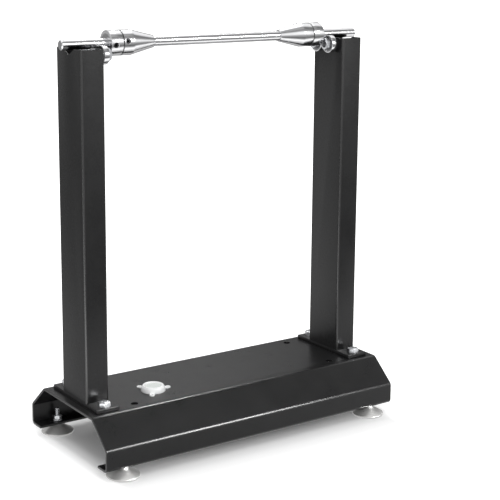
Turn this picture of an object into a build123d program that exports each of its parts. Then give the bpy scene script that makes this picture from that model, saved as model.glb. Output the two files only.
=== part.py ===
from build123d import *

import os
from math import sqrt

os.makedirs("parts", exist_ok=True)

# A bench stand for balancing motorcycle wheels. X runs along the rod, Y from front to back, and the
# floor is at Z = 0. Lengths are in millimetres.

# Folded base
base_length = 420
base_width = 191
base_top_width = 123
base_slope_height = 29.4
base_side_height = 26.6
base_lip = 22
sheet = 3
bend_radius = 6
ground_clearance = 12.5

# Uprights, each a rectangular tube on its own plate
upright_inset = 25
tube_width = 30
tube_depth = 60
tube_length = 410
tube_wall = 2
tube_corner_radius = 3
notch_width = 28
notch_depth = 8
plate_length = 110
plate_thickness = 5

# Holes and bolts of the upright plates
bolt_pitch = 92
spare_hole_shift = 40
plate_thread = 8
plate_bolt_hole = 9
plate_hex = 13
plate_head_height = 5.3
plate_nut_height = 6.5
plate_thread_beyond_nut = 2
plate_bolt_turn = -17

# Levelling feet
foot_inset_x = 28
foot_inset_y = 12.5
pad_diameter = 40
pad_floor_diameter = 37
pad_rim_low = 1.2
pad_rim_height = 2.4
pad_neck_diameter = 14
pad_to_lip_gap = 0.3
foot_thread = 6
foot_hole = 7
foot_hex = 10
foot_nut_height = 5.2
foot_washer_diameter = 12
foot_washer_thickness = 1.6
foot_thread_beyond_nut = 8.5
foot_socket_depth = 5

# Ball bearings that carry the rod
bearing_diameter = 22
bearing_bore = 8
bearing_width = 7
inner_ring_diameter = 12.1
ring_gap = 0.1
shield_recess = 0.2
ring_chamfer = 0.5
bearing_pitch = 24
bearing_drop = 8
spacer_length = 4
spacer_diameter = 12
bearing_bolt_hole = 8.5
bearing_hex = 13
bearing_head_height = 5.3
bearing_nut_height = 6.5
bearing_thread_beyond_nut = 2.5
bearing_bolt_turn = 30

# Rod, clamping collars and centring cones
rod_diameter = 12
rod_length = 420
rod_chamfer = 1
rolling_gap = 0.03
sliding_gap = 0.05
collar_to_head_gap = 1.7
collar_diameter = 30
collar_length = 16
seam_gap = 0.05
cone_diameter = 30
cone_land_length = 14
cone_taper_length = 32
cone_tip_diameter = 14.5
grub_diameter = 6
grub_recess = 1.5
collar_grub_inset = 6
cone_grub_inset = 5.5
grub_socket = 3
grub_socket_depth = 3
collar_grub_angle = {"left": -7, "right": 163}
cone_grub_angle = {"left": 10, "right": 180}

# Round spirit level
level_to_upright = 82
level_off_centre = 18
level_diameter = 30
level_top_diameter = 25
level_height = 7
level_flange_height = 1.5
level_well_diameter = 19
level_floor = 1.6
lens_diameter = 22
lens_seat_depth = 1
lens_thickness = 1.6
ear_circle_radius = 20
ear_radius = 3.2
ear_hole = 3
ear_angle = -124

# Clearance of a nut on its thread, and the overrun of cutting tools
thread_gap = 0.05
cut_overrun = 1

# Levels and places that follow from the sizes above
side_top_z = ground_clearance + base_side_height
panel_z = side_top_z + base_slope_height
plate_top_z = panel_z + plate_thickness
tube_top_z = plate_top_z + tube_length
bearing_z = tube_top_z - bearing_drop
centre_distance = (bearing_diameter + rod_diameter) / 2 + rolling_gap
rod_z = bearing_z + sqrt(centre_distance**2 - (bearing_pitch / 2) ** 2)
rod_axis = Axis((0, 0, rod_z), (1, 0, 0))

upright_x = base_length / 2 - upright_inset
upright_spacing = 2 * upright_x
foot_spacing_x = base_length - 2 * foot_inset_x
foot_spacing_y = base_width - 2 * foot_inset_y
inner_face_x = upright_x - tube_width / 2
bearing_x = inner_face_x - spacer_length - bearing_width / 2
bearing_face_x = bearing_x - bearing_width / 2
collar_face_x = bearing_face_x - bearing_head_height - collar_to_head_gap
cone_back_x = collar_face_x - collar_length - seam_gap

sides = {"left": -1, "right": 1}
rows = {"front": -1, "back": 1}


def finish(piece, name):
    """Names a finished piece and writes it."""
    piece.part.label = name
    export_step(piece.part, f"parts/{name}.step")


def hex_bolt(thread, across_flats, head_height, length, turn):
    """A hexagon bolt that points down, with the underside of its head at the origin."""
    with BuildPart() as bolt:
        with BuildSketch():
            RegularPolygon(across_flats / 2, 6, major_radius=False, rotation=turn)
        extrude(amount=head_height)
        with BuildSketch():
            Circle(thread / 2)
        extrude(amount=-length)
    return bolt.part


def hex_nut(thread, across_flats, height):
    """A hexagon nut that stands on the origin."""
    with BuildPart() as nut:
        with BuildSketch():
            RegularPolygon(across_flats / 2, 6, major_radius=False)
            Circle(thread / 2 + thread_gap, mode=Mode.SUBTRACT)
        extrude(amount=height)
    return nut.part


def across(direction, x, y, z):
    """A plane square to the rod, with its normal along +X or -X and its own Y pointing up."""
    return Plane(origin=(x, y, z), x_dir=(0, direction, 0), z_dir=(direction, 0, 0))


def half_section(side):
    """The plane of a turned piece's outline: distance from the middle outwards, and radius."""
    return Plane(origin=(0, 0, rod_z), x_dir=(side, 0, 0), z_dir=(0, -side, 0))


def radial(side, x, angle, radius):
    """A plane square to a radius of the rod that points forward, tilted up by the angle."""
    axis_plane = Plane(origin=(side * x, 0, rod_z), x_dir=(1, 0, 0), z_dir=(0, -1, 0))
    return axis_plane.rotated((-angle, 0, 0)).offset(radius)


# Folded base
lip_y = base_width / 2 - base_lip
front_fold = [
    (-lip_y, ground_clearance),
    (-base_width / 2, ground_clearance),
    (-base_width / 2, side_top_z),
    (-base_top_width / 2, panel_z),
]
back_fold = [(-y, z) for y, z in reversed(front_fold)]

with BuildPart() as base_channel:
    with BuildSketch(Plane.YZ.offset(-base_length / 2)):
        with BuildLine():
            FilletPolyline(*front_fold, *back_fold, radius=bend_radius)
            offset(amount=sheet, side=Side.RIGHT)
        make_face()
    extrude(amount=base_length)
    # Bolt holes of the uprights, and spare ones that let the uprights stand closer together
    for x in (upright_x, upright_x - spare_hole_shift):
        with Locations((0, 0, panel_z)):
            with GridLocations(2 * x, bolt_pitch, 2, 2):
                Hole(plate_bolt_hole / 2, depth=sheet)
    # Holes for the studs of the feet
    with Locations((0, 0, ground_clearance + sheet)):
        with GridLocations(foot_spacing_x, foot_spacing_y, 2, 2):
            Hole(foot_hole / 2, depth=sheet)
finish(base_channel, "base_channel")


# Upright tubes and their plates
for side_name, side in sides.items():
    with BuildPart() as plate:
        with BuildSketch(Plane.XY.offset(panel_z)):
            with Locations((side * upright_x, 0)):
                Rectangle(tube_width, plate_length)
                with GridLocations(0, bolt_pitch, 1, 2):
                    Circle(plate_bolt_hole / 2, mode=Mode.SUBTRACT)
        extrude(amount=plate_thickness)
    finish(plate, f"{side_name}_upright_plate")

    with BuildPart() as tube:
        with BuildSketch(Plane.XY.offset(plate_top_z)):
            with Locations((side * upright_x, 0)):
                RectangleRounded(tube_width, tube_depth, tube_corner_radius)
                RectangleRounded(
                    tube_width - 2 * tube_wall,
                    tube_depth - 2 * tube_wall,
                    tube_corner_radius - tube_wall,
                    mode=Mode.SUBTRACT,
                )
        extrude(amount=tube_length)
        # The notch that clears the rod, through both broad walls
        with BuildSketch(across(side, side * (inner_face_x - cut_overrun), 0, tube_top_z)):
            with BuildLine():
                Polyline((-notch_width / 2, 0), (0, -notch_depth), (notch_width / 2, 0), close=True)
            make_face()
        extrude(amount=tube_width + 2 * cut_overrun, mode=Mode.SUBTRACT)
        # Bolt holes of the bearings, through the inner wall only
        with Locations(across(side, side * (inner_face_x + tube_wall), 0, bearing_z)):
            with GridLocations(bearing_pitch, 0, 2, 1):
                Hole(bearing_bolt_hole / 2, depth=tube_wall)
    finish(tube, f"{side_name}_upright_tube")


# Bolts and nuts that hold the plates to the base
plate_bolt_length = plate_thickness + sheet + plate_nut_height + plate_thread_beyond_nut
plate_bolt = hex_bolt(
    plate_thread, plate_hex, plate_head_height, plate_bolt_length, plate_bolt_turn
)
plate_nut = hex_nut(plate_thread, plate_hex, plate_nut_height)

with BuildPart() as upright_bolts:
    with Locations((0, 0, plate_top_z)):
        with GridLocations(upright_spacing, bolt_pitch, 2, 2):
            add(plate_bolt)
finish(upright_bolts, "upright_bolts")

with BuildPart() as upright_nuts:
    with Locations((0, 0, panel_z - sheet - plate_nut_height)):
        with GridLocations(upright_spacing, bolt_pitch, 2, 2):
            add(plate_nut)
finish(upright_nuts, "upright_nuts")


# Levelling feet, each a cone-shaped pad with a stud that stands in it
lip_top_z = ground_clearance + sheet
foot_nut_z = lip_top_z + foot_washer_thickness
pad_top_z = ground_clearance - pad_to_lip_gap
stud_foot_z = pad_top_z - foot_socket_depth
stud_top_z = foot_nut_z + foot_nut_height + foot_thread_beyond_nut
socket_radius = foot_thread / 2 + thread_gap

for row_name, row in rows.items():
    for side_name, side in sides.items():
        foot_x = side * foot_spacing_x / 2
        foot_y = row * foot_spacing_y / 2

        with BuildPart() as pad:
            with BuildSketch(Plane(origin=(foot_x, foot_y, 0), x_dir=(1, 0, 0), z_dir=(0, -1, 0))):
                with BuildLine():
                    Polyline(
                        (0, 0),
                        (pad_floor_diameter / 2, 0),
                        (pad_diameter / 2, pad_rim_low),
                        (pad_diameter / 2, pad_rim_height),
                        (pad_neck_diameter / 2, pad_top_z),
                        (socket_radius, pad_top_z),
                        (socket_radius, stud_foot_z),
                        (0, stud_foot_z),
                        close=True,
                    )
                make_face()
            revolve(axis=Axis((foot_x, foot_y, 0), (0, 0, 1)))
        finish(pad, f"{row_name}_{side_name}_foot_pad")

        with BuildPart() as stud:
            with BuildSketch(Plane.XY.offset(stud_foot_z)):
                with Locations((foot_x, foot_y)):
                    Circle(foot_thread / 2)
            extrude(amount=stud_top_z - stud_foot_z)
        finish(stud, f"{row_name}_{side_name}_foot_stud")

with BuildPart() as foot_washers:
    with BuildSketch(Plane.XY.offset(lip_top_z)):
        with GridLocations(foot_spacing_x, foot_spacing_y, 2, 2):
            Circle(foot_washer_diameter / 2)
            Circle(socket_radius, mode=Mode.SUBTRACT)
    extrude(amount=foot_washer_thickness)
finish(foot_washers, "foot_washers")

foot_nut = hex_nut(foot_thread, foot_hex, foot_nut_height)
with BuildPart() as foot_nuts:
    with Locations((0, 0, foot_nut_z)):
        with GridLocations(foot_spacing_x, foot_spacing_y, 2, 2):
            add(foot_nut)
finish(foot_nuts, "foot_nuts")


# Ball bearings, two side by side on each upright, closed by shields that turn with the outer ring
def bearing_places(x):
    """The four places at one distance from the middle, each facing outwards."""
    return [
        across(side, side * x, row * bearing_pitch / 2, bearing_z)
        for side in sides.values()
        for row in rows.values()
    ]


for side_name, side in sides.items():
    for row_name, row in rows.items():
        place = across(side, side * bearing_x, row * bearing_pitch / 2, bearing_z)
        with BuildPart() as outer_ring:
            with BuildSketch(place):
                Circle(bearing_diameter / 2)
                Circle(inner_ring_diameter / 2 + ring_gap, mode=Mode.SUBTRACT)
            extrude(amount=bearing_width / 2 - shield_recess, both=True)
            rims = outer_ring.edges().filter_by(GeomType.CIRCLE).sort_by(SortBy.RADIUS)[-2:]
            chamfer(rims, length=ring_chamfer)
        finish(outer_ring, f"{side_name}_{row_name}_bearing_outer_ring")

with BuildPart() as bearing_inner_rings:
    with BuildSketch(*bearing_places(bearing_face_x)):
        Circle(inner_ring_diameter / 2)
        Circle(bearing_bore / 2, mode=Mode.SUBTRACT)
    extrude(amount=bearing_width)
finish(bearing_inner_rings, "bearing_inner_rings")

with BuildPart() as bearing_spacers:
    with BuildSketch(*bearing_places(bearing_face_x + bearing_width)):
        Circle(spacer_diameter / 2)
        Circle(bearing_bore / 2, mode=Mode.SUBTRACT)
    extrude(amount=spacer_length)
finish(bearing_spacers, "bearing_spacers")

bearing_thread = bearing_bore - 2 * thread_gap
bearing_bolt_length = (
    bearing_width + spacer_length + tube_wall + bearing_nut_height + bearing_thread_beyond_nut
)
bearing_bolt = hex_bolt(
    bearing_thread, bearing_hex, bearing_head_height, bearing_bolt_length, bearing_bolt_turn
)
bearing_nut = hex_nut(bearing_thread, bearing_hex, bearing_nut_height)

with BuildPart() as bearing_bolts:
    for place in bearing_places(bearing_face_x):
        with Locations(-place):
            add(bearing_bolt)
finish(bearing_bolts, "bearing_bolts")

with BuildPart() as bearing_nuts:
    with Locations(*bearing_places(inner_face_x + tube_wall)):
        add(bearing_nut)
finish(bearing_nuts, "bearing_nuts")


# Rod
with BuildPart() as rod:
    with BuildSketch(across(1, -rod_length / 2, 0, rod_z)):
        Circle(rod_diameter / 2)
    extrude(amount=rod_length)
    chamfer(rod.edges().filter_by(GeomType.CIRCLE), length=rod_chamfer)
finish(rod, "rod")


# Clamping collars, centring cones and their grub screws
bore_radius = rod_diameter / 2 + sliding_gap
grub_hole_radius = grub_diameter / 2 + thread_gap
grub_reach = collar_diameter / 2 + cut_overrun
collar_grub_x = collar_face_x - collar_grub_inset
cone_grub_x = cone_back_x - cone_grub_inset
taper_x = cone_back_x - cone_land_length
tip_x = taper_x - cone_taper_length


def grub_screw(side, x, angle):
    """A headless screw with a hexagon socket, its point against the rod."""
    screw_top = collar_diameter / 2 - grub_recess
    with BuildPart() as screw:
        with BuildSketch(radial(side, x, angle, bore_radius)):
            Circle(grub_diameter / 2)
        extrude(amount=screw_top - bore_radius)
        with BuildSketch(radial(side, x, angle, screw_top)):
            RegularPolygon(grub_socket / 2, 6, major_radius=False)
        extrude(amount=-grub_socket_depth, mode=Mode.SUBTRACT)
    return screw


for side_name, side in sides.items():
    with BuildPart() as collar:
        with BuildSketch(half_section(side)):
            with Locations((collar_face_x, bore_radius)):
                Rectangle(
                    collar_length,
                    collar_diameter / 2 - bore_radius,
                    align=(Align.MAX, Align.MIN),
                )
        revolve(axis=rod_axis)
        with Locations(radial(side, collar_grub_x, collar_grub_angle[side_name], grub_reach)):
            Hole(grub_hole_radius, depth=grub_reach)
    finish(collar, f"{side_name}_collar")
    collar_screw = grub_screw(side, collar_grub_x, collar_grub_angle[side_name])
    finish(collar_screw, f"{side_name}_collar_grub_screw")

    with BuildPart() as cone:
        with BuildSketch(half_section(side)):
            with BuildLine():
                Polyline(
                    (tip_x, bore_radius),
                    (tip_x, cone_tip_diameter / 2),
                    (taper_x, cone_diameter / 2),
                    (cone_back_x, cone_diameter / 2),
                    (cone_back_x, bore_radius),
                    close=True,
                )
            make_face()
        revolve(axis=rod_axis)
        with Locations(radial(side, cone_grub_x, cone_grub_angle[side_name], grub_reach)):
            Hole(grub_hole_radius, depth=grub_reach)
    finish(cone, f"{side_name}_cone")
    cone_screw = grub_screw(side, cone_grub_x, cone_grub_angle[side_name])
    finish(cone_screw, f"{side_name}_cone_grub_screw")


# Round spirit level: a tapered case with ears, a well of liquid and a lens
level_centre = (level_to_upright - upright_x, -level_off_centre, panel_z)
level_place = Plane(origin=level_centre)
level_section = Plane(origin=level_centre, x_dir=(1, 0, 0), z_dir=(0, -1, 0))
level_axis = Axis(level_centre, (0, 0, 1))
well_radius = level_well_diameter / 2
ledge_z = level_height - lens_seat_depth

with BuildPart() as level_case:
    with BuildSketch(level_section):
        with BuildLine():
            Polyline(
                (0, 0),
                (level_diameter / 2, 0),
                (level_diameter / 2, level_flange_height),
                (level_top_diameter / 2, level_height),
                (lens_diameter / 2, level_height),
                (lens_diameter / 2, ledge_z),
                (well_radius, ledge_z),
                (well_radius, level_floor),
                (0, level_floor),
                close=True,
            )
        make_face()
    revolve(axis=level_axis)
    with BuildSketch(level_place):
        with PolarLocations(ear_circle_radius, 3, start_angle=ear_angle):
            Rectangle(ear_circle_radius - well_radius, 2 * ear_radius, align=(Align.MAX, Align.CENTER))
            Circle(ear_radius)
            Circle(ear_hole / 2, mode=Mode.SUBTRACT)
    extrude(amount=level_flange_height)
finish(level_case, "level_case")

with BuildPart() as level_liquid:
    with BuildSketch(level_place.offset(level_floor)):
        Circle(well_radius)
    extrude(amount=ledge_z - level_floor)
finish(level_liquid, "level_liquid")

with BuildPart() as level_lens:
    with BuildSketch(level_place.offset(ledge_z)):
        Circle(lens_diameter / 2)
    extrude(amount=lens_thickness)
finish(level_lens, "level_lens")
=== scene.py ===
from math import atan2, cos, pi, radians, sin, tan

import bmesh
import bpy
from mathutils import Matrix, Vector


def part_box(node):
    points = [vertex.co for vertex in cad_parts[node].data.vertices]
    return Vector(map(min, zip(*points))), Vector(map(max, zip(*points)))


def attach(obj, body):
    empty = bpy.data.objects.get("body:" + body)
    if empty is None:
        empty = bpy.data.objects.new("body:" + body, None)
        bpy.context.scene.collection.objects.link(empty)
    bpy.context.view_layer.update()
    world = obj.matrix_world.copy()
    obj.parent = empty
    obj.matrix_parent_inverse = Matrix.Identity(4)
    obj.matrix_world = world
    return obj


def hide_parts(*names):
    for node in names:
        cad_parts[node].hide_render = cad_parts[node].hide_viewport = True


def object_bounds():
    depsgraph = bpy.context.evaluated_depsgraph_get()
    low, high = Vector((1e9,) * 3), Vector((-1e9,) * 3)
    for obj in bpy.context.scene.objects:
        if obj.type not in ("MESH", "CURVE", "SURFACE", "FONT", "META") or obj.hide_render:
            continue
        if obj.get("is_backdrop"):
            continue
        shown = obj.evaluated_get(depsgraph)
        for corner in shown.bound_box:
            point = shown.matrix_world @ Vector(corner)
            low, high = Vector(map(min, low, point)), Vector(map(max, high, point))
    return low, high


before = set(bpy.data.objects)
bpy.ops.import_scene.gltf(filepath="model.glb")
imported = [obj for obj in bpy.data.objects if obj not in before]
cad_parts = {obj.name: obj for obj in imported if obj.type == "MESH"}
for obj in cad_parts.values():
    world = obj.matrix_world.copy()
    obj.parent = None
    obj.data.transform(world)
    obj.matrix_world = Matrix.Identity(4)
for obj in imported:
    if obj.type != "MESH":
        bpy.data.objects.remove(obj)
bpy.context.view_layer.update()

# The stand in metres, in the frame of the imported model: X along the rod, Y from front to back, Z up.
mm = 0.001
sides = {"left": -1, "right": 1}
ranks = {"front": -1, "back": 1}

# Steps of round forms
round_steps = 64
fine_steps = 96
finest_steps = 128
hole_steps = 48
bend_steps = 12
base_edge_steps = 4
tube_edge_steps = 3
tube_corner_steps = 8
# The most of a straight run that a rounded corner takes
corner_run_share = 0.45

# Folded base
base_length = 420 * mm
base_half_width = 95.5 * mm
base_half_top = 61.5 * mm
base_bottom = 12.5 * mm
base_shoulder = 39.1 * mm
base_top = 68.5 * mm
base_lip = 22 * mm
sheet = 3 * mm
sheet_corner = 0.4 * mm
bend_radius = 6 * mm
foot_hole = 3.5 * mm
plate_bolt_hole = 4.5 * mm
spare_hole_shift = 40 * mm
cut_edge_radius = 0.55 * mm

# Cutters
overrun = 2 * mm
side_overrun = 1 * mm
hole_flare = 0.12 * mm
tube_hole_flare = 0.2 * mm

# Faces that get a finish of their own, by distances and by how much of their direction lies along an axis
end_face_depth = 0.6 * mm
hole_rim = 0.1 * mm
hardly = 0.1
slightly = 0.2
partly = 0.25
mostly = 0.9
almost_fully = 0.97

# Uprights
tube_wall = 2 * mm
tube_corner_radius = 3 * mm
least_corner_radius = 0.3 * mm
notch_half_width = 14 * mm
notch_depth = 8 * mm
notch_corner_radius = 0.6 * mm
notch_rise_share = 0.25
bearing_bolt_hole = 4.25 * mm
plate_edge_radius = 0.7 * mm

# Fasteners
hex_chamfer_share = 0.95
hex_chamfer_slope = tan(radians(30))
thread_depth = 0.45 * mm
thread_steps = 24
thread_slices = 6
thread_turns = 3
thread_extra = 4 * mm
fine_pitch = 1 * mm
coarse_pitch = 1.25 * mm
nut_countersink = 0.5 * mm
washer_edge = 0.3 * mm
plate_head = 5.3 * mm
plate_hex = 13 * mm
plate_thread = 4 * mm
plate_bolt_turn = radians(-17)
bearing_head = 5.3 * mm
bearing_hex = 13 * mm
bearing_thread = 3.95 * mm
bearing_dish = 4.3 * mm
dish_depth = 1.6 * mm
dish_slope = 0.4 * mm
dish_rim = 0.05 * mm
foot_hex = 10 * mm
foot_thread = 3 * mm

# Rod, collars and cones
bore_radius = 6.05 * mm
collar_radius = 15 * mm
cone_land = 14 * mm
cone_tip_radius = 7.25 * mm
machined_edge = 0.75 * mm
grub_hole = 3.05 * mm
grub_countersink = 0.6 * mm

# Bearings
ring_land = 1.7 * mm
ring_edge = 0.4 * mm
ring_step = 0.35 * mm
shield_bore = 6.15 * mm
shield_edge = 0.1 * mm
shield_tuck = 0.2 * mm
shield_rim = 0.5 * mm
shield_rim_depth = 0.6 * mm
shield_groove = 0.3 * mm
shield_groove_depth = 0.25 * mm
shield_crown_depth = 0.05 * mm
shield_curl = 0.5 * mm
shield_curl_depth = 0.3 * mm
shield_bore_depth = 0.8 * mm
bolt_clearance = 0.03 * mm
inner_ring_edge = 0.3 * mm
spacer_edge = 0.35 * mm

# Levelling feet: heights and radii of the cup below its widest place and up its flank, and its neck
cup_rim = [(0, 17.5 * mm), (0.25 * mm, 18.6 * mm), (0.9 * mm, 19.6 * mm)]
cup_flank = [
    (2.9 * mm, 19.2 * mm), (4.6 * mm, 16.2 * mm), (6.6 * mm, 12.6 * mm),
    (8.5 * mm, 9.6 * mm), (10 * mm, 7.7 * mm), (11 * mm, 6.9 * mm),
]
cup_widest = 1.5 * mm
cup_rim_top = 2.3 * mm
cup_rim_taper = 0.1 * mm
cup_edge = 0.8 * mm
neck_radius = 6.6 * mm
neck_land = 6.2 * mm
neck_edge = 0.3 * mm
socket_depth = 5 * mm
socket_clearance = 0.05 * mm

# Spirit level
level_angle = radians(-124)
case_radius = 15 * mm
case_foot = 1.5 * mm
case_shoulder = (4.5 * mm, 14.2 * mm)
case_top_radius = 12.5 * mm
case_edge = 0.5 * mm
ear_count = 3
ear_reach = 20 * mm
ear_radius = 3.2 * mm
ear_hole = 1.5 * mm
ear_root = 6.5 * mm
ear_height = 1.5 * mm
ear_edge = 0.15 * mm
ear_steps = 40
level_gap = 0.05 * mm
dome_height = 1.1 * mm
dome_angles = range(90, 0, -9)
bubble_radius = 3 * mm
bubble_half_height = 1.5 * mm
bubble_depth = 1.7 * mm
bubble_shift = (0.6 * mm, -0.4 * mm)
bubble_angles = range(165, 0, -15)
printed_rings = (3.4 * mm, 6.2 * mm)
printed_width = 0.35 * mm
printed_height = 0.04 * mm

# Floor
floor_radius = 12
floor_drop = 0.05 * mm
floor_colour = (0.85, 0.85, 0.85, 1)

# Light of the room on the object
ambient = 0.78

# Camera, from the photograph's own lines
camera_place = (-0.87535, -1.32601, 0.60712)
camera_azimuth = -34.912
camera_elevation = 11.307
camera_roll = 0.495
camera_lens = 94.597
camera_sensor = 36
camera_shift_y = -0.1


# Making meshes

def circle(radius, height, steps=round_steps):
    """Points of a circle square to Z."""
    turns = [2 * pi * i / steps for i in range(steps)]
    return [(radius * cos(a), radius * sin(a), height) for a in turns]


def tip(height):
    """The single point that closes a turned form on its axis."""
    return [(0, 0, height)]


def skin(mesh, rows, place=Matrix(), closed=False):
    """Joins rows of points, each a loop or a tip, into a skin."""
    loops = [[mesh.verts.new(place @ Vector(point)) for point in row] for row in rows]
    pairs = list(zip(loops, loops[1:]))
    if closed:
        pairs.append((loops[-1], loops[0]))
    for one, two in pairs:
        count = max(len(one), len(two))
        for i in range(count):
            j = (i + 1) % count
            if len(one) == 1:
                corners = (one[0], two[j], two[i])
            elif len(two) == 1:
                corners = (one[i], one[j], two[0])
            else:
                corners = (one[i], one[j], two[j], two[i])
            mesh.faces.new(corners)


def capped(mesh, rows):
    """A skin over rows of the same length, with its first and last row closed by flat faces."""
    skin(mesh, rows)
    mesh.verts.ensure_lookup_table()
    mesh.faces.new(mesh.verts[:len(rows[0])])
    mesh.faces.new(mesh.verts[-len(rows[0]):])


def rounded(points, radius, steps=3, closed=True):
    """A flat line with its corners turned into arcs, as far as its runs have room for them."""
    line = [Vector(p) for p in points]
    count = len(line)
    out = []
    for i, corner in enumerate(line):
        if not closed and i in (0, count - 1):
            out.append(corner)
            continue
        back = line[i - 1] - corner
        ahead = line[(i + 1) % count] - corner
        half = back.angle(ahead) / 2
        run = min(radius / tan(half), corner_run_share * back.length, corner_run_share * ahead.length)
        arc = run * tan(half)
        hub = corner + (back.normalized() + ahead.normalized()).normalized() * arc / sin(half)
        start = corner + back.normalized() * run - hub
        end = corner + ahead.normalized() * run - hub
        turn = atan2(start.x * end.y - start.y * end.x, start.dot(end))
        for k in range(steps + 1):
            a = turn * k / steps
            x = start.x * cos(a) - start.y * sin(a)
            y = start.x * sin(a) + start.y * cos(a)
            out.append(hub + Vector((x, y)))
    return out


def turned(mesh, outline, place=Matrix(), steps=round_steps, edge=0):
    """A closed outline of (height, radius) points turned about Z, with its corners rounded by edge."""
    line = rounded(outline, edge) if edge else [Vector(p) for p in outline]
    skin(mesh, [circle(r, h, steps) for h, r in line], place, closed=True)


def turned_solid(mesh, outline, place=Matrix(), steps=round_steps, edge=0):
    """An open outline of (height, radius) points turned about Z, closed on the axis at both ends."""
    ends = (outline[0][0], outline[-1][0])
    line = rounded(outline, edge, closed=False) if edge else [Vector(p) for p in outline]
    rows = [tip(ends[0])] + [circle(r, h, steps) for h, r in line if r > 0] + [tip(ends[1])]
    skin(mesh, rows, place)


def tube_outline(length, outer, inner, start=0):
    """The outline of a plain ring from its start on."""
    return [(start, inner), (start, outer), (start + length, outer), (start + length, inner)]


def edge_steps(radius, count):
    """Insets and distances from a face that together make a rounded edge."""
    turns = [pi / 2 * k / count for k in range(count + 1)]
    return [(radius * (1 - sin(a)), radius * (1 - cos(a))) for a in turns]


def hex_radius(across_flats, angle):
    """How far a hexagon's side is from its middle in one direction."""
    return across_flats / 2 / cos((angle + pi / 6) % (pi / 3) - pi / 6)


def hex_rows(across_flats, low, high, bottom_chamfer, turn=0, steps=fine_steps):
    """Rows up the sides of a bolt head or nut, whose corners are turned off at 30 degrees."""
    flat_radius = across_flats / 2 * hex_chamfer_share
    angles = [2 * pi * i / steps for i in range(steps)]

    def row(shape):
        return [(r * cos(a), r * sin(a), z) for a in angles for r, z in [shape(a - turn)]]

    def drop(a):
        return max(0, hex_radius(across_flats, a) - flat_radius) * hex_chamfer_slope

    rows = [row(lambda a: (hex_radius(across_flats, a), high - drop(a))), circle(flat_radius, high, steps)]
    if bottom_chamfer:
        return [
            circle(flat_radius, low, steps),
            row(lambda a: (hex_radius(across_flats, a), low + drop(a))),
        ] + rows
    return [row(lambda a: (hex_radius(across_flats, a), low))] + rows


def thread_rows(radius, pitch, low, high):
    """Rows along a screw thread, which fades out at its end."""
    count = int((high - low) / (pitch / thread_slices))
    rows = []
    for k in range(count + 1):
        z = low + (high - low) * k / count
        fade = min(1, (high - z) / pitch)
        row = []
        for i in range(thread_steps):
            a = 2 * pi * i / thread_steps
            wave = abs(2 * ((z / pitch - a / (2 * pi)) % 1) - 1)
            r = radius - thread_depth * (1 - wave * fade)
            row.append((r * cos(a), r * sin(a), z))
        rows.append(row)
    return rows


# Places and the CAD nodes' own solids

def along_x(direction, x, y, z):
    """A place whose Z points along +X or -X."""
    axes = Matrix(((0, 0, direction), (direction, 0, 0), (0, 1, 0))).to_4x4()
    return Matrix.Translation((x, y, z)) @ axes


def at(x, y, z):
    """A place with the frame's own axes."""
    return Matrix.Translation((x, y, z))


def middle(node):
    """The middle of a CAD node's box."""
    low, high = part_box(node)
    return (low + high) / 2


def solids_of(node):
    """The lowest and highest corner of each separate solid of a CAD node."""
    mesh = bmesh.new()
    mesh.from_mesh(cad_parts[node].data)
    bmesh.ops.remove_doubles(mesh, verts=mesh.verts, dist=0.001 * mm)
    left = set(mesh.verts)
    boxes = []
    while left:
        found = {left.pop()}
        edge = list(found)
        while edge:
            near = {e.other_vert(v) for v in edge for e in v.link_edges} - found
            found |= near
            edge = list(near)
        left -= found
        low = Vector([min(v.co[i] for v in found) for i in range(3)])
        high = Vector([max(v.co[i] for v in found) for i in range(3)])
        boxes.append((low, high))
    mesh.free()
    return sorted(boxes, key=lambda b: tuple(round(c, 4) for c in b[0]))


def standing(node):
    """For each solid of a CAD node a place at the middle of its underside, and its size."""
    for low, high in solids_of(node):
        yield at((low.x + high.x) / 2, (low.y + high.y) / 2, low.z), high - low


def lying(node):
    """For each solid of a CAD node a place at the middle of its left end, with Z along +X, and its size."""
    for low, high in solids_of(node):
        yield along_x(1, low.x, (low.y + high.y) / 2, (low.z + high.z) / 2), high - low


# Making pieces

def new_object(name, data):
    """A new object in the scene."""
    made = bpy.data.objects.new(name, data)
    bpy.context.scene.collection.objects.link(made)
    return made


def object_of(mesh, name, finish=None, sharp=32):
    """Turns the built mesh into a smooth-shaded object that keeps edges sharper than an angle."""
    bmesh.ops.recalc_face_normals(mesh, faces=mesh.faces)
    data = bpy.data.meshes.new(name)
    mesh.to_mesh(data)
    mesh.free()
    data.shade_smooth()
    data.set_sharp_from_angle(angle=radians(sharp))
    if finish:
        data.materials.append(finish)
    return new_object(name, data)


def cut(piece, cutter, sharp=32):
    """Takes the cutter mesh away from the piece, which keeps its one finish on the cut faces too."""
    tool = object_of(cutter, piece.name + "_cutter")
    step = piece.modifiers.new("cut", "BOOLEAN")
    step.object = tool
    step.operation = "DIFFERENCE"
    step.solver = "EXACT"
    shape = piece.evaluated_get(bpy.context.evaluated_depsgraph_get())
    data = bpy.data.meshes.new_from_object(shape)
    finish = piece.data.materials[0]
    data.materials.clear()
    data.materials.append(finish)
    for face in data.polygons:
        face.material_index = 0
    piece.modifiers.clear()
    piece.data = data
    data.name = piece.name
    data.set_sharp_from_angle(angle=radians(sharp))
    bpy.data.objects.remove(tool)


def paint(piece, finish, rule):
    """Gives another finish to the faces that a rule picks by their middle and direction."""
    piece.data.materials.append(finish)
    index = len(piece.data.materials) - 1
    for face in piece.data.polygons:
        if rule(face.center, face.normal):
            face.material_index = index


def place_piece(piece, body, slot, *nodes):
    """Lets a piece ride on its body and lets it stand for CAD nodes, which it hides. The slot is not used.
    """
    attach(piece, body)
    if nodes:
        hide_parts(*nodes)


def repeated(name, finish, slot, node, places, shape):
    """One piece on the stand, with the same shape at each solid of a CAD node."""
    mesh = bmesh.new()
    for place, size in places(node):
        shape(mesh, place, size)
    place_piece(object_of(mesh, name, finish), "stand", slot, node)


# Node trees

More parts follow.
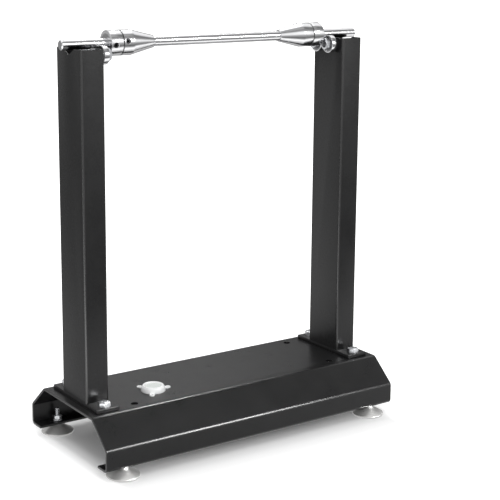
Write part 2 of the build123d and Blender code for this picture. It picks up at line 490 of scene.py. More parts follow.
# The brightest grey that a ramp can hold
glow_top = 4


class Graph:
    """Short ways to add and join nodes in one node tree."""

    def __init__(self, tree):
        self.tree = tree

    def node(self, kind, **settings):
        made = self.tree.nodes.new(kind)
        for key, value in settings.items():
            setattr(made, key, value)
        return made

    def link(self, source, target):
        self.tree.links.new(source, target)

    def math(self, operation, *values):
        made = self.node("ShaderNodeMath", operation=operation)
        for socket, value in zip(made.inputs, values):
            if isinstance(value, (int, float)):
                socket.default_value = value
            else:
                self.link(value, socket)
        return made.outputs["Value"]

    def spread(self, value, low, high, start=0.3, end=0.7):
        """Maps a range of a value, a texture's middle part if none is given, onto another range."""
        made = self.node("ShaderNodeMapRange")
        numbers = {"From Min": start, "From Max": end, "To Min": low, "To Max": high}
        for name, number in numbers.items():
            made.inputs[name].default_value = number
        self.link(value, made.inputs["Value"])
        return made.outputs["Result"]

    def ramp(self, value, stops):
        """Grey values at stops along a range, smoothly joined."""
        start, end = stops[0][0], stops[-1][0]
        made = self.node("ShaderNodeValToRGB")
        made.color_ramp.interpolation = "EASE"
        points = made.color_ramp.elements
        while len(points) < len(stops):
            points.new(1)
        for point, (place, grey) in zip(points, stops):
            point.position = (place - start) / (end - start)
            point.color = (grey / glow_top, grey / glow_top, grey / glow_top, 1)
        self.link(self.spread(value, 0, 1, start, end), made.inputs["Fac"])
        return self.math("MULTIPLY", made.outputs["Color"], glow_top)

    def only(self, where, factor):
        """The factor where the other value is 1, and 1 where it is 0."""
        return self.math("ADD", self.math("MULTIPLY", self.math("SUBTRACT", factor, 1), where), 1)

    def mixed(self, share, one, two):
        """One shader where the share is 0, and the other where it is 1."""
        made = self.node("ShaderNodeMixShader")
        self.link(share, made.inputs["Fac"])
        self.link(one, made.inputs[1])
        self.link(two, made.inputs[2])
        return made.outputs["Shader"]

    def path(self):
        """What kind of light ray arrives."""
        return self.node("ShaderNodeLightPath").outputs

    def white_ray(self):
        """1 for what the camera sees itself or through clear pieces."""
        path = self.path()
        return self.math("MAXIMUM", path["Is Camera Ray"], path["Is Transmission Ray"])

    def first_hit(self):
        """1 while no matt surface lies on the way from the camera."""
        return self.math("LESS_THAN", self.path()["Diffuse Depth"], 0.5)


class Shader(Graph):
    """A node material around one Principled shader."""

    def __init__(self, name, **values):
        self.material = bpy.data.materials.new(name)
        self.material.use_nodes = True
        super().__init__(self.material.node_tree)
        self.surface = self.tree.nodes["Principled BSDF"]
        for key, value in values.items():
            self.surface.inputs[key.replace("_", " ")].default_value = value
        self.place = self.node("ShaderNodeTexCoord").outputs["Object"]

    def noise(self, scale, detail=3, roughness=0.5, where=None):
        made = self.node("ShaderNodeTexNoise")
        made.inputs["Scale"].default_value = scale
        made.inputs["Detail"].default_value = detail
        made.inputs["Roughness"].default_value = roughness
        self.link(where or self.place, made.inputs["Vector"])
        return made.outputs["Fac"]

    def colour(self, value, dark, light):
        """Runs the base colour from dark to light with a texture."""
        made = self.node("ShaderNodeMix", data_type="RGBA")
        for socket, shade in zip([s for s in made.inputs if s.type == "RGBA"], (dark, light)):
            socket.default_value = (*shade, 1)
        self.link(value, made.inputs["Factor"])
        self.link([s for s in made.outputs if s.type == "RGBA"][0], self.surface.inputs["Base Color"])

    def rough(self, value):
        self.link(value, self.surface.inputs["Roughness"])

    def bump(self, height, depth, strength=1):
        made = self.node("ShaderNodeBump")
        made.inputs["Strength"].default_value = strength
        made.inputs["Distance"].default_value = depth
        self.link(height, made.inputs["Height"])
        self.link(made.outputs["Normal"], self.surface.inputs["Normal"])

    def along(self, axes):
        """Coordinates that keep only some axes, so that marks run square to them."""
        parts = self.node("ShaderNodeSeparateXYZ")
        self.link(self.place, parts.inputs["Vector"])
        whole = self.node("ShaderNodeCombineXYZ")
        for axis in axes:
            self.link(parts.outputs[axis], whole.inputs[axis])
        return whole.outputs["Vector"]

    def distance(self):
        """The distance from the object's own upright axis, as a coordinate."""
        length = self.node("ShaderNodeVectorMath", operation="LENGTH")
        self.link(self.along("XY"), length.inputs[0])
        whole = self.node("ShaderNodeCombineXYZ")
        self.link(length.outputs["Value"], whole.inputs["X"])
        return whole.outputs["Vector"]


# Materials

def powder_coat(name="powder_coat", gloss=0.25, rough_low=0.26, rough_high=0.34):
    """A satin black coat with a fine grain and faint clouds."""
    s = Shader(name, Specular_IOR_Level=gloss)
    grain = s.noise(1500, 2)
    clouds = s.noise(28, 4)
    s.colour(clouds, (0.008, 0.008, 0.0083), (0.0105, 0.0105, 0.0108))
    both = s.math("ADD", s.math("MULTIPLY", clouds, 0.6), s.math("MULTIPLY", grain, 0.4))
    s.rough(s.spread(both, rough_low, rough_high))
    s.bump(grain, 0.01 * mm, 0.5)
    return s.material


def metal(name, dark, light, rough_low, rough_high, marks, depth, scale, metallic=1):
    """A bare metal whose fine marks follow the given coordinate."""
    s = Shader(name, Metallic=metallic)
    lines = s.noise(scale, 5, 0.65, where=marks(s))
    patches = s.noise(90, 3)
    s.colour(s.math("MULTIPLY", lines, patches), dark, light)
    s.rough(s.spread(lines, rough_low, rough_high))
    s.bump(lines, depth)
    return s.material


def plastic(name, dark, light, roughness, **values):
    """A smooth moulded plastic, or a liquid."""
    s = Shader(name, **values)
    s.colour(s.noise(120, 3), dark, light)
    s.rough(s.spread(s.noise(260, 2), roughness * 0.8, roughness * 1.2))
    s.bump(s.noise(500, 2), 0.01 * mm, 0.3)
    return s.material


black = powder_coat()
tube_coat = powder_coat("powder_coat_on_tubes", 0.25, 0.24, 0.31)
# Painted shade: a copy of the coat with its reflection turned down, in holes and on the flanks of the
# notches
hole_shade_coat = powder_coat("powder_coat_with_painted_shade_in_holes", 0.04)
# Painted highlight: a glossier copy of the coat, on the cut ends of the base and the rounded corners of the
# tubes
edge_sheen_coat = powder_coat("powder_coat_with_painted_sheen_on_edges", 0.6, 0.2, 0.28)
steel = metal("turned_steel", (0.6, 0.6, 0.61), (0.78, 0.78, 0.79), 0.13, 0.24,
              lambda s: s.along("X"), 0.004 * mm, 2600)
# A dark copy of the turned steel: painted shade on the faces at the seam between each collar and its cone
seam_shade_steel = metal("steel_with_painted_shade_in_the_seams", (0.1, 0.1, 0.1), (0.16, 0.16, 0.165), 0.3, 0.4,
                   lambda s: s.along("X"), 0.004 * mm, 2600)
bright_steel = metal("bearing_steel", (0.62, 0.62, 0.63), (0.8, 0.8, 0.81), 0.08, 0.16,
                     lambda s: s.along("X"), 0.002 * mm, 3000)
shield_steel = metal("shield_steel", (0.2, 0.2, 0.205), (0.32, 0.32, 0.325), 0.22, 0.34,
                     lambda s: s.place, 0.004 * mm, 900)
dark_steel = metal("black_oxide", (0.03, 0.03, 0.032), (0.07, 0.07, 0.072), 0.3, 0.45,
                   lambda s: s.place, 0.008 * mm, 900)
zinc = metal("zinc_plate", (0.62, 0.63, 0.65), (0.82, 0.83, 0.85), 0.2, 0.36,
             lambda s: s.place, 0.01 * mm, 700)
# Painted shade: a darker, duller copy of the zinc, on the nuts inside the tubes and in the dished heads of
# the bearing bolts
shaded_zinc = metal("zinc_with_painted_shade", (0.2, 0.2, 0.21), (0.3, 0.3, 0.31), 0.4, 0.52,
                  lambda s: s.place, 0.01 * mm, 700)
nickel = metal("nickel_plate", (0.52, 0.52, 0.51), (0.72, 0.71, 0.7), 0.34, 0.44,
               lambda s: s.distance(), 0.02 * mm, 3200, metallic=0.6)
white = plastic("white_plastic", (0.9, 0.91, 0.91), (0.95, 0.95, 0.95), 0.25)
clear = plastic("clear_plastic", (0.93, 0.95, 0.95), (0.97, 0.98, 0.98), 0.04, Alpha=0.1)
liquid = plastic("level_liquid", (0.9, 0.95, 0.91), (0.94, 0.97, 0.94), 0.06, Alpha=0.75)
bubble_skin = plastic("bubble", (0.55, 0.58, 0.56), (0.66, 0.69, 0.67), 0.05, Alpha=0.5)
print_grey = plastic("printed_grey", (0.1, 0.1, 0.1), (0.16, 0.16, 0.16), 0.5)


# Folded base

base_line = [
    (-base_half_width + base_lip, base_bottom),
    (-base_half_width, base_bottom),
    (-base_half_width, base_shoulder),
    (-base_half_top, base_top),
    (base_half_top, base_top),
    (base_half_width, base_shoulder),
    (base_half_width, base_bottom),
    (base_half_width - base_lip, base_bottom),
]


def shifted(line, distance, trim):
    """The line moved to its right, with its two ends cut back."""
    points = [Vector(p) for p in line]
    runs = [(b - a).normalized() for a, b in zip(points, points[1:])]
    normals = [Vector((run.y, -run.x)) for run in runs]
    out = [points[0] + normals[0] * distance + runs[0] * trim]
    for corner, one, two in zip(points[1:-1], normals, normals[1:]):
        out.append(corner + (one + two) * (distance / (1 + one.dot(two))))
    out.append(points[-1] + normals[-1] * distance - runs[-1] * trim)
    return out


def base_section(inset):
    """The closed outline of the folded sheet, made thinner by inset on every side."""
    outer = shifted(base_line, inset, inset + sheet_corner)
    inner = shifted(base_line, sheet - inset, inset + sheet_corner)
    start = shifted(base_line, inset + sheet_corner, inset)
    end = shifted(base_line, sheet - inset - sheet_corner, inset)
    loop = rounded(outer, bend_radius - inset, bend_steps, closed=False) + [start[-1], end[-1]]
    loop += reversed(rounded(inner, bend_radius - sheet + inset, bend_steps, closed=False))
    return loop + [end[0], start[0]]


def hole(mesh, radius, low, high, place, flare=hole_flare):
    """A round cutter whose two ends open out, so that the hole's edges aren't knife sharp."""
    outline = [
        (low - overrun, radius + flare),
        (low, radius + flare),
        (low + flare, radius),
        (high - flare, radius),
        (high, radius + flare),
        (high + overrun, radius + flare),
    ]
    turned_solid(mesh, outline, place, hole_steps)


mesh = bmesh.new()
rows = []
for inset, depth in edge_steps(cut_edge_radius, base_edge_steps):
    rows.append([(-base_length / 2 + depth, y, z) for y, z in base_section(inset)])
rows += [[(-x, y, z) for x, y, z in row] for row in reversed(rows)]
capped(mesh, rows)
base = object_of(mesh, "base_sheet", black, sharp=40)

upright_x = middle("right_upright_plate").x
low, high = solids_of("upright_bolts")[0]
bolt_y = abs(low.y + high.y) / 2
holes = bmesh.new()
for x in (upright_x, upright_x - spare_hole_shift):
    for side in sides.values():
        for rank in ranks.values():
            hole(holes, plate_bolt_hole, base_top - sheet, base_top, at(side * x, rank * bolt_y, 0))
for low, high in solids_of("foot_washers"):
    centre = (low + high) / 2
    hole(holes, foot_hole, base_bottom, base_bottom + sheet, at(centre.x, centre.y, 0))
cut(base, holes, sharp=40)


def in_panel_hole(centre, normal):
    """Whether a face of the base is the wall of a hole in its panel."""
    within = base_top - sheet + hole_rim < centre.z < base_top - hole_rim
    return within and abs(centre.y) < base_half_top - bend_radius and abs(normal.z) < mostly


# Painted shade on the walls of the holes in the panel
paint(base, hole_shade_coat, in_panel_hole)
# Painted highlight on the cut ends of the base
paint(base, edge_sheen_coat, lambda centre, normal: abs(centre.x) > base_length / 2 - end_face_depth)
place_piece(base, "stand", "black_powder_coat", "base_channel")


# Uprights and their plates

def box_row(low, high, inset, z):
    """A loop around a tube between two corners of its box."""
    corners = [
        (low.x + inset, low.y + inset),
        (high.x - inset, low.y + inset),
        (high.x - inset, high.y - inset),
        (low.x + inset, high.y - inset),
    ]
    radius = max(tube_corner_radius - inset, least_corner_radius)
    return [(x, y, z) for x, y in rounded(corners, radius, tube_corner_steps)]


def make_plate(side_name, side):
    """A welded foot plate with its two bolt holes."""
    node = f"{side_name}_upright_plate"
    low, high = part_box(node)
    mesh = bmesh.new()
    bmesh.ops.create_cube(mesh, size=1)
    for vertex in mesh.verts:
        vertex.co = [c + v * s for c, v, s in zip((low + high) / 2, vertex.co, high - low)]
    bmesh.ops.bevel(mesh, geom=mesh.edges[:], offset=plate_edge_radius, segments=4, profile=0.5,
                    affect="EDGES")
    plate = object_of(mesh, f"{side_name}_plate", black)
    holes = bmesh.new()
    for rank in ranks.values():
        hole(holes, plate_bolt_hole, low.z, high.z, at(side * upright_x, rank * bolt_y, 0))
    cut(plate, holes)
    place_piece(plate, "stand", "black_powder_coat", node)


def tube_cutter(side_name, side, low, high):
    """The V notch across a tube's top and the holes for its bearing bolts."""
    cutter = bmesh.new()
    reach = notch_half_width * (1 + notch_rise_share)
    rise = notch_depth * notch_rise_share
    notch = [
        (-reach, rise),
        (0, -notch_depth),
        (reach, rise),
        (reach, rise + overrun),
        (-reach, rise + overrun),
    ]
    flat = rounded(notch, notch_corner_radius)
    ends = (low.x - side_overrun, high.x + side_overrun)
    capped(cutter, [[(x, y, high.z + z) for y, z in flat] for x in ends])
    inner_face = high.x if side < 0 else low.x
    for rank_name in ranks:
        centre = middle(f"{side_name}_{rank_name}_bearing_outer_ring")
        place = along_x(side, inner_face, centre.y, centre.z)
        hole(cutter, bearing_bolt_hole, 0, tube_wall, place, tube_hole_flare)
    return cutter


def make_tube(side_name, side):
    """An upright tube with rounded cut edges, its notch and its bolt holes."""
    node = f"{side_name}_upright_tube"
    low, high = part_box(node)
    edge = edge_steps(cut_edge_radius, tube_edge_steps)
    rows = [box_row(low, high, 0, low.z)]
    rows += [box_row(low, high, inset, high.z - depth) for inset, depth in reversed(edge)]
    rows += [box_row(low, high, tube_wall - inset, high.z - depth) for inset, depth in edge]
    rows.append(box_row(low, high, tube_wall, low.z))
    mesh = bmesh.new()
    skin(mesh, rows, closed=True)
    tube = object_of(mesh, f"{side_name}_tube", tube_coat)
    cut(tube, tube_cutter(side_name, side, low, high))
    notch_low = high.z - notch_depth - side_overrun

    def on_corner(centre, normal):
        return abs(normal.z) < hardly and min(abs(normal.x), abs(normal.y)) > slightly

    def on_notch(centre, normal):
        return centre.z > notch_low and abs(normal.x) < slightly < normal.z < almost_fully

    # Painted highlight on the rounded corners of the tube
    paint(tube, edge_sheen_coat, on_corner)
    # Painted shade on the flanks of the notch
    paint(tube, hole_shade_coat, on_notch)
    place_piece(tube, "stand", "black_powder_coat", node)


for side_name, side in sides.items():
    make_plate(side_name, side)
    make_tube(side_name, side)


# Bolts, nuts and washers

def bolt(mesh, place, across_flats, head, radius, length, turn=0, dish=0):
    """A threaded bolt that points down from the underside of its chamfered head, which may be dished."""
    rows = [tip(0)] + hex_rows(across_flats, 0, head, False, turn)
    if dish:
        steps = ((dish, 0), (dish - dish_slope, dish_slope), (dish - 2 * dish_slope, dish_depth))
        rows += [circle(r, head - depth, fine_steps) for r, depth in steps]
        head -= dish_depth
    skin(mesh, rows + [tip(head)], place)
    smooth = length - thread_turns * coarse_pitch - thread_extra
    shank = [tip(0), circle(radius, 0, thread_steps), circle(radius, -smooth, thread_steps)]
    thread = [[(x, y, -z) for x, y, z in row] for row in thread_rows(radius, coarse_pitch, smooth, length)]
    skin(mesh, shank + thread + [tip(-length)], place)


def nut(mesh, place, across_flats, height, bore):
    """A nut with both faces chamfered and a countersunk bore."""
    wide = bore + nut_countersink
    levels = ((wide, height), (bore, height - nut_countersink), (bore, nut_countersink), (wide, 0))
    inner = [circle(r, z, fine_steps) for r, z in levels]
    skin(mesh, hex_rows(across_flats, 0, height, True) + inner, place, closed=True)


mesh = bmesh.new()
for low, high in solids_of("upright_bolts"):
    under_head = high.z - plate_head
    place = at((low.x + high.x) / 2, (low.y + high.y) / 2, under_head)
    bolt(mesh, place, plate_hex, plate_head, plate_thread, under_head - low.z, turn=plate_bolt_turn)
place_piece(object_of(mesh, "plate_bolts", zinc), "stand", "zinc_plate", "upright_bolts")

repeated("plate_nuts", zinc, "zinc_plate", "upright_nuts", standing,
         lambda mesh, place, size: nut(mesh, place, plate_hex, size.z, plate_thread))
repeated("foot_lock_nuts", zinc, "zinc_plate", "foot_nuts", standing,
         lambda mesh, place, size: nut(mesh, place, foot_hex, size.z, foot_thread))
repeated("washers", zinc, "zinc_plate", "foot_washers", standing,
         lambda mesh, place, size: turned(mesh, tube_outline(size.z, size.x / 2, foot_thread), place,
                                          edge=washer_edge))

mesh = bmesh.new()
axes = []
for low, high in solids_of("bearing_bolts"):
    side = -1 if low.x < 0 else 1
    head_end = high.x if side < 0 else low.x
    centre = (low + high) / 2
    axes.append((centre.y, centre.z))
    place = along_x(-side, head_end + side * bearing_head, centre.y, centre.z)
    length = high.x - low.x - bearing_head
    bolt(mesh, place, bearing_hex, bearing_head, bearing_thread, length, dish=bearing_dish)
screws = object_of(mesh, "bearing_screws", zinc)


def in_dish(centre, normal):
    """Whether a face of a bearing bolt is inside its dish or on its shank."""
    return min(abs(complex(centre.y - y, centre.z - z)) for y, z in axes) < bearing_dish - dish_rim


# Painted shade inside the dishes of the bearing bolts' heads
paint(screws, shaded_zinc, in_dish)
place_piece(screws, "stand", "zinc_plate", "bearing_bolts")

# Painted shade on the nuts inside the tubes
repeated("bearing_lock_nuts", shaded_zinc, "zinc_plate", "bearing_nuts", lying,
         lambda mesh, place, size: nut(mesh, place, bearing_hex, size.x, bearing_thread))


# Ball bearings and their spacers

def bearing_ring(mesh, place, size, edge):
    """A ring that sits on the shank of a bearing bolt."""
    outline = tube_outline(size.x, size.z / 2, bearing_thread + bolt_clearance)
    turned(mesh, outline, place, edge=edge)


def make_bearing(body):
    """A bearing's outer ring and its two shields."""
    node = f"{body}_outer_ring"
    low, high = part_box(node)
    centre = (low + high) / 2
    half, radius = (high.x - low.x) / 2, (high.z - low.z) / 2
    inner = radius - ring_land
    face = half - ring_step
    mesh = bmesh.new()
    outline = tube_outline(2 * half, radius, inner, -half)
    turned(mesh, outline, along_x(1, centre.x, centre.y, centre.z), fine_steps, ring_edge)
    place_piece(object_of(mesh, f"{body}_ring", bright_steel), body, "bearing_steel", node)
    mesh = bmesh.new()
    outline = [
        (face - shield_rim_depth, inner + shield_tuck),
        (face, inner + shield_tuck),
        (face, inner - shield_rim),
        (face - shield_groove_depth, inner - shield_rim - shield_groove),
        (face - shield_crown_depth, shield_bore + shield_curl),
        (face - shield_curl_depth, shield_bore),
        (face - shield_bore_depth, shield_bore),
    ]
    for direction in (-1, 1):
        turned(mesh, outline, along_x(direction, centre.x, centre.y, centre.z), fine_steps, shield_edge)
    place_piece(object_of(mesh, f"{body}_shields", shield_steel), body, "bearing_steel")


for side_name in sides:
    for rank_name in ranks:
        make_bearing(f"{side_name}_{rank_name}_bearing")
repeated("inner_rings", bright_steel, "bearing_steel", "bearing_inner_rings", lying,
         lambda mesh, place, size: bearing_ring(mesh, place, size, inner_ring_edge))
repeated("spacers", steel, "turned_steel", "bearing_spacers", lying,
         lambda mesh, place, size: bearing_ring(mesh, place, size, spacer_edge))


# Collars and cones

rod_z = middle("rod").z


def ends_of(node):
    """How far from the stand's middle the two ends of a node on the rod are, the nearer end first."""
    low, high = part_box(node)
    return sorted((abs(low.x), abs(high.x)))


def machined(name, outline, direction, node, seam):
    """A turned piece on the rod with the countersunk hole of its grub screw, and its faces at the seam
    painted dark as shade.
    """
    mesh = bmesh.new()
    turned(mesh, outline, along_x(direction, 0, 0, rod_z), finest_steps, machined_edge)
    piece = object_of(mesh, name, steel)
    centre = middle(f"{node}_grub_screw")
    out = Vector((0, centre.y, centre.z - rod_z)).normalized()
    turn = Vector((0, 0, 1)).rotation_difference(out).to_matrix().to_4x4()
    sink = [
        (0, grub_hole),
        (collar_radius - grub_countersink, grub_hole),
        (collar_radius + side_overrun, grub_hole + grub_countersink + side_overrun),
    ]
    cutter = bmesh.new()
    turned_solid(cutter, sink, at(centre.x, 0, rod_z) @ turn, hole_steps)
    cut(piece, cutter)

    def at_seam(centre, normal):
        return abs(abs(centre.x) - seam) < machined_edge and abs(normal.x) > partly

    # Painted shade: the faces at the seam get the dark copy of the steel
    paint(piece, seam_shade_steel, at_seam)
    place_piece(piece, node, "turned_steel", node)


for side_name, side in sides.items():
    inner_end, outer_end = ends_of(f"{side_name}_collar")
    outline = [
        (inner_end, bore_radius),
        (inner_end, collar_radius),
        (outer_end, collar_radius),
        (outer_end, bore_radius),
    ]
    machined(f"{side_name}_stop_collar", outline, side, f"{side_name}_collar", inner_end)
    inner_end, outer_end = ends_of(f"{side_name}_cone")
    outline = [
        (inner_end, bore_radius),
        (inner_end, cone_tip_radius),
        (outer_end - cone_land, collar_radius),
        (outer_end, collar_radius),
        (outer_end, bore_radius),
    ]
    machined(f"{side_name}_centring_cone", outline, side, f"{side_name}_cone", outer_end)


# Levelling feet

def make_foot(body):
    """A foot's cup, whose origin lies on its own axis so that its marks go round, and its threaded stud."""
    low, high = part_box(f"{body}_pad")
    centre = (low + high) / 2
    radius, top = (high.x - low.x) / 2, high.z
    socket = foot_thread + socket_clearance
    outline = cup_rim + [(cup_widest, radius), (cup_rim_top, radius - cup_rim_taper)] + cup_flank + [
        (top - neck_edge, neck_radius),
        (top, neck_land),
        (top, socket),
        (top - socket_depth, socket),
    ]
    mesh = bmesh.new()
    turned_solid(mesh, outline, steps=fine_steps, edge=cup_edge)
    pad = object_of(mesh, f"{body}_cup", nickel, sharp=50)
    pad.location = (centre.x, centre.y, 0)
    place_piece(pad, body, "nickel_plate", f"{body}_pad")
    low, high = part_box(f"{body}_stud")
    mesh = bmesh.new()
    rows = thread_rows(foot_thread, fine_pitch, low.z, high.z)
    skin(mesh, [tip(low.z)] + rows + [tip(high.z)], at(centre.x, centre.y, 0))
    place_piece(object_of(mesh, f"{body}_screw", zinc), body, "zinc_plate", f"{body}_stud")


for rank_name in ranks:
    for side_name in sides:
        make_foot(f"{rank_name}_{side_name}_foot")


# Round spirit level, with heights from the base's panel

low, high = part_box("level_liquid")
level = at((low.x + high.x) / 2, (low.y + high.y) / 2, base_top)
well = (high.x - low.x) / 2
well_floor = low.z - base_top
level_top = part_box("level_case")[1].z - base_top
low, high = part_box("level_lens")
lens_low = low.z - base_top
lens_high = high.z - base_top
lens_radius = (high.x - low.x) / 2


def ear_row(height, inset):
    """The outline of an ear around its hole: a round end, and two straight sides that run into the case."""
    row = []
    for k in range(ear_steps):
        angle = 2 * pi * k / ear_steps
        radius = ear_radius - inset
        if cos(angle) < 0:
            radius /= max(abs(sin(angle)), radius / ear_root)
        row.append((radius * cos(angle), radius * sin(angle), height))
    return row


def cap_line(middle_height, half_height, radius, angles):
    """Points of (height, radius) along a domed line, at angles from its top."""
    turns = [radians(a) for a in angles]
    return [(middle_height + half_height * cos(a), radius * sin(a)) for a in turns]


mesh = bmesh.new()
outline = [
    (0, case_radius),
    (case_foot, case_radius),
    case_shoulder,
    (level_top, case_top_radius),
    (level_top, lens_radius),
    (lens_low, lens_radius),
    (lens_low, well),
    (well_floor, well),
]
turned_solid(mesh, outline, level, fine_steps, case_edge)
ear = [
    ear_row(0, ear_edge),
    ear_row(ear_edge, 0),
    ear_row(ear_height - ear_edge, 0),
    ear_row(ear_height, ear_edge),
    circle(ear_hole + ear_edge, ear_height, ear_steps),
    circle(ear_hole, ear_height - ear_edge, ear_steps),
    circle(ear_hole, ear_edge, ear_steps),
    circle(ear_hole + ear_edge, 0, ear_steps),
]
for k in range(ear_count):
    turn = Matrix.Rotation(level_angle + k * 2 * pi / ear_count, 4, "Z")
    skin(mesh, ear, level @ turn @ at(ear_reach, 0, 0), closed=True)
place_piece(object_of(mesh, "level_housing", white), "stand", "white_plastic", "level_case")

mesh = bmesh.new()
dome = cap_line(lens_high - dome_height, dome_height, lens_radius, dome_angles)
turned_solid(mesh, [(lens_low + level_gap, lens_radius - level_gap)] + dome, level, fine_steps)
place_piece(object_of(mesh, "level_window", clear, sharp=60), "stand", "clear_plastic", "level_lens")

mesh = bmesh.new()
outline = [(well_floor + level_gap, well - level_gap), (lens_low - level_gap, well - level_gap)]
turned_solid(mesh, outline, level, fine_steps)
place_piece(object_of(mesh, "level_fluid", liquid), "stand", "level_liquid", "level_liquid")

mesh = bmesh.new()
bubble = cap_line(lens_low - bubble_depth, bubble_half_height, bubble_radius, bubble_angles)
turned_solid(mesh, bubble, level @ at(*bubble_shift, 0), hole_steps)
place_piece(object_of(mesh, "level_bubble", bubble_skin, sharp=60), "stand", "clear_plastic")

mesh = bmesh.new()
for radius in printed_rings:
    outline = [
        (well_floor, radius),
        (well_floor, radius + printed_width),
        (well_floor + printed_height, radius + printed_width),
        (well_floor + printed_height, radius),
    ]
    turned(mesh, outline, level)
place_piece(object_of(mesh, "level_rings", print_grey), "stand", "white_plastic")


# Finishes of the CAD nodes that show as they are

def finish_node(node, finish):
    """Gives a CAD node its finish."""
    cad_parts[node].data.materials.clear()
    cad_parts[node].data.materials.append(finish)


finish_node("rod", steel)
for side_name in sides:
    for carrier in ("collar", "cone"):
        finish_node(f"{side_name}_{carrier}_grub_screw", dark_steel)


# Floor

# A painted glow that the camera sees on top of the lit floor, by the distance outside the base's ends and
# its long sides in metres; it is weak near the base and so paints the shadow around it
end_lift = [(-0.05, 0), (-0.034, 0), (-0.017, 0.12), (-0.007, 0.33), (0.004, 0.48), (0.1, 0.6), (0.4, 1)]
front_lift = [(-0.05, 0), (-0.02, 0.08), (0.004, 0.05), (0.026, 0.12), (0.05, 0.18), (0.15, 0.6), (0.4, 1)]
# A painted glow that reflections see instead of the lit floor, by the distance behind (+) or in front (-)
# of the rod in metres
floor_glow = [
    (-2.4, 0.42), (-1.7, 0.4), (-1.3, 0.18), (-0.98, 0.16), (-0.66, 0.5), (-0.5, 1.6), (-0.3, 1.8),
    (-0.24, 1.05), (-0.12, 0.95), (0, 1.0), (0.25, 0.6), (0.45, 0.6), (1.0, 0.4), (2.0, 0.3),
]
# How much more of that shows in front of the rod, by the distance to the left (-) of the stand's middle
left_glow = [(-1, 2.6), (-0.5, 2.6), (-0.25, 1), (0, 1)]


def pale_floor():
    """A matt floor that the camera sees lifted by a painted glow, which leaves a painted shadow around the
    base, and that reflections see as a painted glow of its own.
    """
    s = Shader("pale_floor", Base_Color=floor_colour, Roughness=1, Specular_IOR_Level=0)
    spot = s.node("ShaderNodeSeparateXYZ")
    s.link(s.place, spot.inputs["Vector"])
    x, y = spot.outputs["X"], spot.outputs["Y"]
    beside = s.math("SUBTRACT", s.math("ABSOLUTE", x), base_length / 2)
    before = s.math("SUBTRACT", s.math("ABSOLUTE", y), base_half_width)
    lift = s.node("ShaderNodeEmission")
    s.link(s.math("MAXIMUM", s.ramp(beside, end_lift), s.ramp(before, front_lift)), lift.inputs["Strength"])
    lifted = s.node("ShaderNodeAddShader")
    s.link(s.surface.outputs["BSDF"], lifted.inputs[0])
    s.link(lift.outputs["Emission"], lifted.inputs[1])
    mirrored = s.node("ShaderNodeEmission")
    more = s.only(s.math("LESS_THAN", y, 0), s.ramp(x, left_glow))
    s.link(s.math("MULTIPLY", s.ramp(y, floor_glow), more), mirrored.inputs["Strength"])
    seen = s.mixed(s.white_ray(), s.surface.outputs["BSDF"], lifted.outputs["Shader"])
    whole = s.mixed(s.path()["Is Glossy Ray"], seen, mirrored.outputs["Emission"])
    s.link(whole, s.tree.nodes["Material Output"].inputs["Surface"])
    return s.material


mesh = bmesh.new()
skin(mesh, [tip(-floor_drop), circle(floor_radius, -floor_drop, fine_steps)])
floor = object_of(mesh, "floor", pale_floor())
floor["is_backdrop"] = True


# Room

# What it shows to reflections, by the angle in degrees from the front horizon up and over to the back
room_glow = [
    (-2, 0.75), (2, 0.8), (9, 1.35), (30, 1.35), (42, 0.36), (80, 0.26), (94, 1.3), (140, 1.3), (151, 0.58),
    (178, 0.53),
]
# How much of the room overhead shows, by the share of its direction that points to the right
steep_glow = [(0.4, 1.9), (0.47, 1.7), (0.54, 1.0), (0.62, 0.85), (0.7, 0.85)]
steep_from = 57
steep_to = 97
# How much of the back of the room shows, by the angle in degrees to the right of the back
back_glow = [(0, 1), (29, 1), (33.4, 0.88), (36, 0.55), (38, 0.34), (40, 0.28), (60, 0.28)]
back_from = 150


def make_room():
    """A white backdrop that lights the stand a little less, and that direct reflections see as a glow."""
    world = bpy.data.worlds.new("studio")
    bpy.context.scene.world = world
    world.use_nodes = True
    g = Graph(world.node_tree)
    parts = g.node("ShaderNodeSeparateXYZ")
    g.link(g.node("ShaderNodeTexCoord").outputs["Generated"], parts.inputs["Vector"])
    x, y, z = (parts.outputs[axis] for axis in "XYZ")
    over = g.math("MULTIPLY", g.math("ARCTAN2", z, g.math("MULTIPLY", y, -1)), 180 / pi)
    aside = g.math("MULTIPLY", g.math("ARCTAN2", x, y), 180 / pi)
    back = g.only(g.math("GREATER_THAN", over, back_from), g.ramp(aside, back_glow))
    above = g.math("GREATER_THAN", over, steep_from)
    below = g.math("LESS_THAN", over, steep_to)
    steep = g.only(g.math("MULTIPLY", above, below), g.ramp(x, steep_glow))
    glossy = g.math("MULTIPLY", g.math("MULTIPLY", g.ramp(over, room_glow), back), steep)
    plain = g.math("ADD", g.math("MULTIPLY", g.white_ray(), 1 - ambient), ambient)
    reflected = g.math("MULTIPLY", g.path()["Is Glossy Ray"], g.first_hit())
    glow = g.math("MULTIPLY", reflected, g.math("SUBTRACT", glossy, plain))
    backdrop = g.tree.nodes["Background"]
    backdrop.inputs["Color"].default_value = (1, 1, 1, 1)
    g.link(g.math("ADD", plain, glow), backdrop.inputs["Strength"])


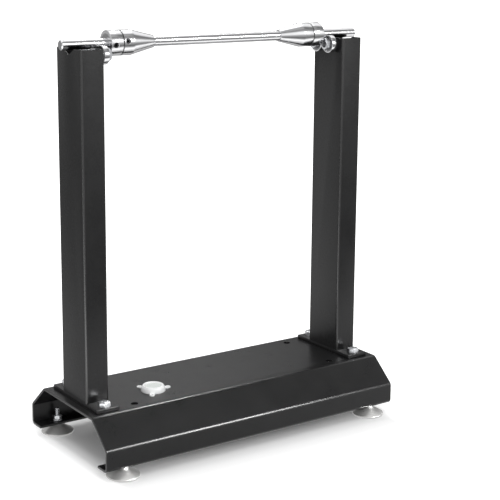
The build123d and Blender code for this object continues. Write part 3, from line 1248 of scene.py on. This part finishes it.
make_room()


# Lamps

def softbox(name, place, target, width, height, power, spread=180, mirrored=True):
    """A soft rectangular lamp, unseen by the camera, that is either mirrored or lights matt surfaces."""
    lamp = bpy.data.lights.new(name, "AREA")
    lamp.shape = "RECTANGLE"
    lamp.size, lamp.size_y = width, height
    lamp.energy = power
    lamp.spread = radians(spread)
    if mirrored:
        lamp.use_nodes = True
        g = Graph(lamp.node_tree)
        g.link(g.first_hit(), g.tree.nodes["Emission"].inputs["Strength"])
    holder = new_object(name, lamp)
    holder.location = place
    holder.rotation_euler = (Vector(target) - Vector(place)).to_track_quat("-Z", "Y").to_euler()
    holder.visible_camera = False
    holder.visible_glossy = mirrored
    holder.visible_diffuse = not mirrored


softbox("overhead", (0, 0, 2), (0, 0, 0), 2.6, 2.6, 16, mirrored=False)
softbox("fill", (-0.5, -1.7, 1.3), (-0.05, 0, 0.07), 0.8, 0.8, 10, mirrored=False)
softbox("front_right", (0.7, -1.75, 0.9), (-0.35, 0, -0.38), 1.2, 0.6, 11, spread=34)
softbox("left_low", (-0.95, 0.05, 0.13), (-0.18, 0.04, 0.02), 0.3, 0.15, 0.18, spread=60, mirrored=False)
softbox("between", (-0.07, 0.32, 0.18), (0.17, 0, 0.26), 0.3, 0.5, 0.03, spread=50)
softbox("over_right", (0.5, 0.6, 1.35), (-0.2, -0.08, -0.1), 0.25, 0.25, 0.3, spread=21)


# Camera

lens = bpy.data.cameras.new("camera")
lens.lens = camera_lens
lens.sensor_width = camera_sensor
lens.shift_y = camera_shift_y
camera = new_object("camera", lens)
azimuth, elevation = radians(camera_azimuth), radians(camera_elevation)
back = Vector((sin(azimuth) * cos(elevation), -cos(azimuth) * cos(elevation), sin(elevation)))
facing = (-back).to_track_quat("-Z", "Y").to_matrix()
camera.location = camera_place
camera.rotation_euler = (facing @ Matrix.Rotation(radians(camera_roll), 3, "Z")).to_euler()
bpy.context.scene.camera = camera
bpy.context.scene.view_settings.view_transform = "Standard"

low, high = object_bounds()
